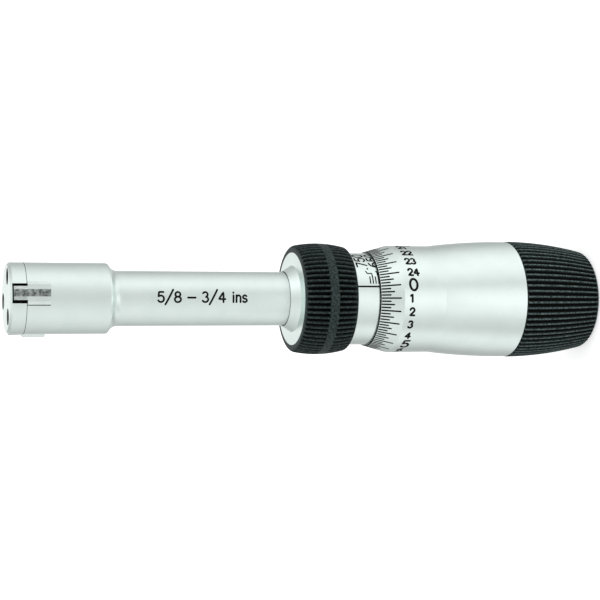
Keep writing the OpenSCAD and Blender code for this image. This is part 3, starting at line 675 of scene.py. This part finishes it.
FIGURES = {
    "0": (0.66, [bow(0.33, 0.5, 0.33, 0.5, 90, 450, 33)]),
    "1": (0.30, [run((0.02, 0.80), (0.26, 1.0), (0.26, 0.0))]),
    "2": (0.62, [one(bow(0.30, 0.71, 0.29, 0.29, 170, -38), run((0.50, 0.50), (0.0, 0.0), (0.62, 0.0)))]),
    "3": (0.58, [one(bow(0.27, 0.76, 0.25, 0.24, 150, -90), bow(0.27, 0.27, 0.30, 0.27, 80, -150))]),
    "4": (0.66, [run((0.48, 0.0), (0.48, 1.0), (0.0, 0.30), (0.66, 0.30))]),
    "5": (0.62, [one(run((0.56, 1.0), (0.12, 1.0), (0.06, 0.54)), bow(0.30, 0.32, 0.31, 0.32, 128, -150))]),
    "6": (0.62, [one(bow(0.52, 0.34, 0.52, 0.66, 92, 180), bow(0.31, 0.31, 0.31, 0.31, 180, 540, 25))]),
    "7": (0.58, [run((0.0, 1.0), (0.58, 1.0), (0.2, 0.0))]),
    "8": (0.62, [bow(0.31, 0.76, 0.25, 0.24, -90, 270, 27), bow(0.31, 0.26, 0.31, 0.27, 90, 450, 27)]),
    "9": (0.62, [one(bow(0.31, 0.69, 0.31, 0.31, 0, 360, 25), bow(0.10, 0.66, 0.52, 0.66, 0, -88))]),
    ".": (0.10, [run((0.03, 0.04), (0.07, 0.04))]),
    "/": (0.80, [run((0.0, -0.24), (0.80, 1.24))]),
    "-": (0.75, [run((0.0, 0.44), (0.75, 0.44))]),
    "i": (0.24, [run((0.12, 0.0), (0.12, 0.68)), run((0.12, 0.93), (0.12, 0.97))]),
    "n": (0.52, [run((0.05, 0.0), (0.05, 0.68)),
                 one(bow(0.26, 0.42, 0.21, 0.26, 180, 0), run((0.47, 0.36), (0.47, 0.0)))]),
    "s": (0.46, [one(bow(0.25, 0.51, 0.19, 0.17, 30, 262), bow(0.25, 0.17, 0.21, 0.17, 82, -150))]),
}


def written(text, size, gap, word_gap=0.73):
    """Paths of a line of figures, size millimetres high, starting at 0; returned with the line's length."""
    paths, x = [], 0.0
    for sign in text:
        if sign == " ":
            x += word_gap - gap
            continue
        width, strokes = FIGURES[sign]
        paths += [(stroke + (x, 0)) * size for stroke in strokes]
        x += width + gap
    return paths, (x - gap) * size


print("signs:", "".join(FIGURES))

# %% [markdown]
# The thimble's figures stand behind the bevel and read along the axis towards the knob. Every fifth one is
# cut larger and with a broader tool. One mesh could hold them all, but a stroke's width is set for a whole
# piece, so the two sizes are two pieces of paint.

# %% Thimble figures
FIGURE_COUNT, FIGURE_AT, FIGURE_GAP = 25, 6.45, 0.2
FIGURE_H, FIGURE_W = 1.62, 0.46
FIFTH_H, FIFTH_W = 2.55, 0.54
small_strokes, large_strokes = [], []
for figure in range(FIGURE_COUNT):
    size, strokes = (FIGURE_H, small_strokes) if figure % 5 else (FIFTH_H, large_strokes)
    paths, _ = written(str(figure), size, FIGURE_GAP)
    angle = INDEX_ANGLE - 2 * math.pi * figure / FIGURE_COUNT
    strokes += [(angle, np.stack([edge_z - FIGURE_AT - p[:, 0], p[:, 1] - size / 2], -1)) for p in paths]
paint_strokes("thimble_figures", small_strokes, FIGURE_W, thimble_radius, "thimble")
paint_strokes("thimble_fifths", large_strokes, FIFTH_W, thimble_radius, "thimble")

# %% [markdown]
# The sleeve carries the index line, the cross lines of the screw's turns above it, and two bore sizes that
# are written round the girth, each with a bent leader to its line. The sleeve stays with the frame, so
# these ride on another body than the thimble's figures, and the thimble covers or bares them as it turns.
# Cutting them off at the reading edge would fix one setting, so they run on under the thimble.

# %% Sleeve marks
PITCH, TICKS, TICK_AT, TICK_FROM, TICK_TO = 0.635, 4, 0.05, 0.75, 2.25
INDEX_W, UNDER_THIMBLE, UNDER_RING = 0.38, 0.6, 0.3
TICK_W, KNEE_LOW, KNEE_HIGH, LEADER_STOP = 0.27, (0.08, 0.9), (-0.3, -1.2), (0.0, -0.6)
SIZE_W, SIZE_H, SIZE_GIRTH = 0.38, 2.25, 4.3
# Each size: its figures, their foot, the cross line it belongs to, and the dot that its leader points at.
SIZES = (".750", 2.0, 2, 2.65), (".650", -0.85, 0, 0.3)


def even(radius):
    """A plain cylinder as a surface for strokes."""
    return lambda z: np.full_like(z, radius)


def girth_text(text, base_z, start, size):
    """Figures that climb round the girth, with their tops towards the head."""
    paths, _ = written(text, size, FIGURE_GAP)
    return [np.stack([base_z + p[:, 1], start + p[:, 0]], -1) for p in paths]


def tick(k):
    """Lower and upper end of cross line k, as height and girth."""
    return np.array([[edge_z + TICK_AT + k * PITCH, girth] for girth in (TICK_FROM, TICK_TO)])


def leader(k, dot):
    """A line with two knees from the upper end of cross line k to a little short of the figure's dot."""
    return run(tick(k)[1], tick(k)[1] + KNEE_LOW, dot + KNEE_HIGH, dot + LEADER_STOP)


def at_index(paths):
    """Strokes whose girth is counted from the index line."""
    return [(INDEX_ANGLE, path) for path in paths]


index = [line((edge_z - UNDER_THIMBLE, 0), (ring_rear + UNDER_RING, 0), 5)]
marks = [line(*tick(k), 4) for k in range(TICKS)]
marks += [leader(k, np.array([edge_z + dot, SIZE_GIRTH])) for _, _, k, dot in SIZES]
sizes = [path for text, foot, _, _ in SIZES for path in girth_text(text, edge_z + foot, SIZE_GIRTH, SIZE_H)]
paint_strokes("sleeve_index", at_index(index), INDEX_W, even(sleeve_r), "frame")
paint_strokes("sleeve_ticks", at_index(marks), TICK_W, even(sleeve_r), "frame")
paint_strokes("sleeve_sizes", at_index(sizes), SIZE_W, even(sleeve_r), "frame")

# %% [markdown]
# The shank carries the plain measuring range, written along the axis like the thimble's figures. A new
# lettering could be drawn for it, but the same alphabet serves on any cylinder: only the radius, the size
# and the spacing are new.

# %% Range on the shank
SHANK_R = 5.87
RANGE_H, RANGE_W, RANGE_GAP, RANGE_Z, RANGE_ANGLE = 2.13, 0.42, 0.142, 100.8, math.radians(-94.8)
paths, length = written("5/8 - 3/4 ins", RANGE_H, RANGE_GAP)
placed = [(RANGE_ANGLE, np.stack([RANGE_Z - p[:, 0], p[:, 1] - RANGE_H / 2], -1)) for p in paths]
paint_strokes("range_mark", placed, RANGE_W, even(SHANK_R), "frame")
print("range mark", round(length, 2), "mm long")

# %% [markdown]
# Where parts meet, shadow in the narrow gaps draws thin dark lines. The gaps of the solids are too fine to
# show them by themselves, so the lines are painted shadow, in the same black paint. Two of them are closed
# rings: the sharp reading edge of the thimble, and the lip of the boss that holds the shank. A stroke would
# show its ends, so each ring is a small outline of corners round its edge, carried about the axis.

# %% Seam rings
SEAM_STEPS = 240
READING_EDGE = [(-0.05, -0.22), (0.075, -0.22), (LIFT, LIFT), (-0.15, LIFT), (-0.15, -0.05)]
BOSS_LIP = [(-0.01, -0.1), (0.15, -0.1), (0.15, LIFT), (-0.01, LIFT)]
lip_z = reach("frame_collar")[1]


def seam_ring(name, edge, corners, body):
    """A closed outline carried round the axis; its corners are counted from an edge in radius and height."""
    outline = np.asarray(corners) + edge
    around = full_turn(SEAM_STEPS)
    points = round_surface(outline, outline[:, :1] + 0 * around, around)
    quads = grid_quads(len(outline), SEAM_STEPS, True, True)
    return put_mesh(name, points, quads, paint, body)


# Painted shadow along the reading edge and round the lip of the boss.
seam_ring("reading_edge_shadow", (EDGE_R, edge_z), READING_EDGE, "thimble")
seam_ring("shank_seam_shadow", (SHANK_R, lip_z), BOSS_LIP, "frame")

# %% [markdown]
# The other seams are strokes on the head: the joint of the cap, broken at the three windows, and, as painted
# shadow, the lower side and the rear end of each contact's block, where the slot's wall is in shadow. Wider
# gaps in the solids would show the same lines, but the real parts fit closely.

# %% Seams of the head
HEAD_R, WINDOW_HALF, BLOCK_HALF, BLOCK_L = 7.5, 2.12, 2.46, 4.75
JOINT_W, SIDE_W, END_W = 0.1, 0.2, 0.07
CONTACTS = 3
contact_angles = [-math.pi / 2 + 2 * math.pi / CONTACTS * k for k in range(CONTACTS)]
block_end = joint_z - BLOCK_L
next_window = 2 * math.pi / CONTACTS * HEAD_R - WINDOW_HALF
head_seams = {
    "cap_joint": (line((joint_z, WINDOW_HALF), (joint_z, next_window), 40), JOINT_W),
    # The block's lower side and rear end are painted shadow lines.
    "block_side_shadows": (run((joint_z, -BLOCK_HALF), (block_end, -BLOCK_HALF)), SIDE_W),
    "block_end_shadows": (run((block_end, -BLOCK_HALF), (block_end, BLOCK_HALF)), END_W),
}
for name, (path, width) in head_seams.items():
    paint_strokes(name, [(angle, path) for angle in contact_angles], width, even(HEAD_R), "frame")

# %% [markdown]
# The tongue ahead of each contact carries on the gritty track of the measuring strip, a step lower. A
# change of finish on the tongue would do, but with a soft edge. So the track is a thin flat bar let into
# the tongue, and it rides on its contact, so that it goes in and out with it.

# %% Tongue tracks
TONGUE_R, TONGUE_L = 7.955, 2.75
TRACK_HALF, TRACK_IN, TRACK_OUT, TRACK_SHORT = 0.75, 0.05, 0.02, 0.05
BAR_FACES = np.array([[0, 1, 3, 2], [4, 6, 7, 5], [0, 4, 5, 1], [2, 3, 7, 6], [0, 2, 6, 4], [1, 5, 7, 3]])


def track(angle):
    """A flat bar in the frame of a contact: outward, sideways and up, turned to the contact's angle."""
    out, side, up = np.meshgrid([TONGUE_R - TRACK_IN, TONGUE_R + TRACK_OUT], [-TRACK_HALF, TRACK_HALF],
                                [joint_z, joint_z + TONGUE_L - TRACK_SHORT], indexing="ij")
    return np.stack([out * math.cos(angle) - side * math.sin(angle),
                     out * math.sin(angle) + side * math.cos(angle), up], -1).reshape(-1, 3)


for k, angle in enumerate(contact_angles, 1):
    put_mesh("tongue_track_%d" % k, track(angle), BAR_FACES, hard_metal, "contact_%d" % k)

# %% [markdown]
# ## Studio
#
# The floor is a plain white sheet under the knob. More lamps would whiten it but bleach the metal too. So
# it is lit like everything else, and a little light of its own, seen by the camera and in reflections,
# takes it to white while the shadow stays.

# %% Floor
FLOOR_HALF, FLOOR_STEPS, FLOOR_GLOW = 6.0, 3, 0.42
FIBRE_TONES, FIBRE_GRAIN, SHEET_ROUGH = ((0.89, 0.9, 0.9), (0.91, 0.91, 0.91)), 900.0, 0.9


def floor_sheet():
    """A flat square grid at height 0."""
    side = np.linspace(-FLOOR_HALF, FLOOR_HALF, FLOOR_STEPS) / MM
    x, y = np.meshgrid(side, side)
    return np.stack([x, y, np.zeros_like(x)], -1).reshape(-1, 3)


def floor_material():
    """White sheet: diffuse, plus a share of glow for camera, mirror and glass rays."""
    material, tree, shader = new_material("floor_white", (0.9, 0.9, 0.9))
    rays = add(tree, "ShaderNodeLightPath").outputs
    seen = maths(tree, "MAXIMUM", rays["Is Camera Ray"], rays["Is Glossy Ray"])
    seen = maths(tree, "MAXIMUM", seen, rays["Is Transmission Ray"])
    fibre = tint(tree, noise(tree, FIBRE_GRAIN), *FIBRE_TONES)
    fill(tree, shader, Base_Color=fibre, Roughness=SHEET_ROUGH, Specular_IOR_Level=0.0,
         Emission_Color=(1, 1, 1, 1), Emission_Strength=maths(tree, "MULTIPLY", seen, FLOOR_GLOW))
    return material


floor = put_mesh("floor", floor_sheet(), grid_quads(FLOOR_STEPS, FLOOR_STEPS), floor_material())

# %% [markdown]
# Satin metal shows whatever stands round it, so a photographer sets it in a light tent. Large lamps could
# stand for it, but they would light the plastic and the floor as well. So the tent is a round wall and a
# ring on the floor that only reflections see. Its brightness changes with the direction, counted from the
# camera: bright to the upper side of the picture, a soft dip towards the camera, and dim flags behind,
# which draw the dark edges. One pattern serves the foot of the tent and another the wall above.

# %% Light tent
TENT_R, TENT_H, TENT_IN, TENT_Z, TENT_GLOW, TENT_STEPS = 110.0, 340.0, 14.5, 0.4, 1.1, 96
CAMERA_SIDE, FOOT_TO_WALL = math.radians(98.0), (0.02, 0.05)
# Each stop of a pattern: degrees from the camera, and brightness.
WALL = [(-180, 0.95), (-160, 0.62), (-140, 0.45), (-120, 0.58), (-93, 0.72), (-65, 0.82), (-42, 0.82),
        (-20, 0.74), (0, 0.66), (14, 0.66), (30, 0.74), (46, 0.88), (62, 0.95), (78, 0.90), (99, 0.74),
        (115, 0.6), (140, 0.45), (160, 0.62), (180, 0.95)]
FOOT = [(-180, 0.95), (-160, 0.6), (-135, 0.4), (-118, 0.52), (-97, 0.82), (-80, 0.92), (-56, 0.6),
        (-40, 0.72), (-22, 0.95), (0, 1.1), (12, 1.0), (28, 0.68), (44, 0.9), (60, 1.02), (80, 1.0),
        (98, 0.85), (119, 0.56), (135, 0.4), (160, 0.6), (180, 0.95)]


def glow_ramp(tree, share, pattern):
    """Brightness by direction: a ramp with a stop for each angle of the pattern."""
    ramp = add(tree, "ShaderNodeValToRGB", Fac=share)
    stops = ramp.color_ramp.elements
    ramp.color_ramp.interpolation = "EASE"
    for k, (degrees, value) in enumerate(pattern):
        position = (degrees + 180) / 360
        stop = stops[k] if k < 2 else stops.new(position)
        stop.position = position
        stop.color = (value, value, value, 1)
    return ramp.outputs["Color"]


def tent_material():
    """Glow by direction round the axis, one pattern low down and another higher up."""
    material, tree, _ = new_material("tent_glow", (1, 1, 1))
    turned = add(tree, "ShaderNodeMapping", Vector=object_place(tree), Rotation=(0, 0, CAMERA_SIDE))
    axes = add(tree, "ShaderNodeSeparateXYZ", Vector=turned.outputs["Vector"]).outputs
    share = spread(tree, maths(tree, "ARCTAN2", axes["Y"], axes["X"]), 0.0, 1.0, -math.pi, math.pi)
    high = spread(tree, axes["Z"], 0.0, 1.0, *FOOT_TO_WALL)
    colour = between(tree, high, glow_ramp(tree, share, FOOT), glow_ramp(tree, share, WALL))
    glow = add(tree, "ShaderNodeEmission", Color=colour, Strength=TENT_GLOW)
    fill(tree, tree.nodes["Material Output"], Surface=glow.outputs[0])
    return material


tent_outline = joined(line((TENT_IN, TENT_Z), (TENT_R, TENT_Z), 6),
                      line((TENT_R, TENT_Z), (TENT_R, TENT_H), 12))
around = full_turn(TENT_STEPS)
tent = put_mesh("light_tent", round_surface(tent_outline, tent_outline[:, :1] + 0 * around, around),
                grid_quads(len(tent_outline), TENT_STEPS, False, True), tent_material())
for kind in ("camera", "diffuse", "transmission", "shadow", "volume_scatter"):
    setattr(tent, "visible_" + kind, False)

# %% [markdown]
# The room is a plain bright grey that lights the black plastic from all sides. A picture of a studio could
# light it, but that needs a file. One broad soft lamp stands high on the upper side of the picture and
# gives the forms a direction.

# %% World and lamp
ROOM_LIGHT, LAMP_LIGHT, LAMP_SPREAD = 0.92, 0.62, math.radians(50)
LAMP_FROM = Vector((0.62, -0.55, 0.56))
world = bpy.data.worlds.new("room")
bpy.context.scene.world = world
world.use_nodes = True
fill(world.node_tree, world.node_tree.nodes["Background"], Color=(1, 1, 1, 1), Strength=ROOM_LIGHT)
lamp = bpy.data.objects.new("soft_lamp", bpy.data.lights.new("soft_lamp", "SUN"))
lamp.data.energy = LAMP_LIGHT
lamp.data.angle = LAMP_SPREAD
lamp.rotation_mode = "QUATERNION"
lamp.rotation_quaternion = LAMP_FROM.to_track_quat("Z", "Y")
bpy.context.scene.collection.objects.link(lamp)
print("room", ROOM_LIGHT, "lamp", LAMP_LIGHT)
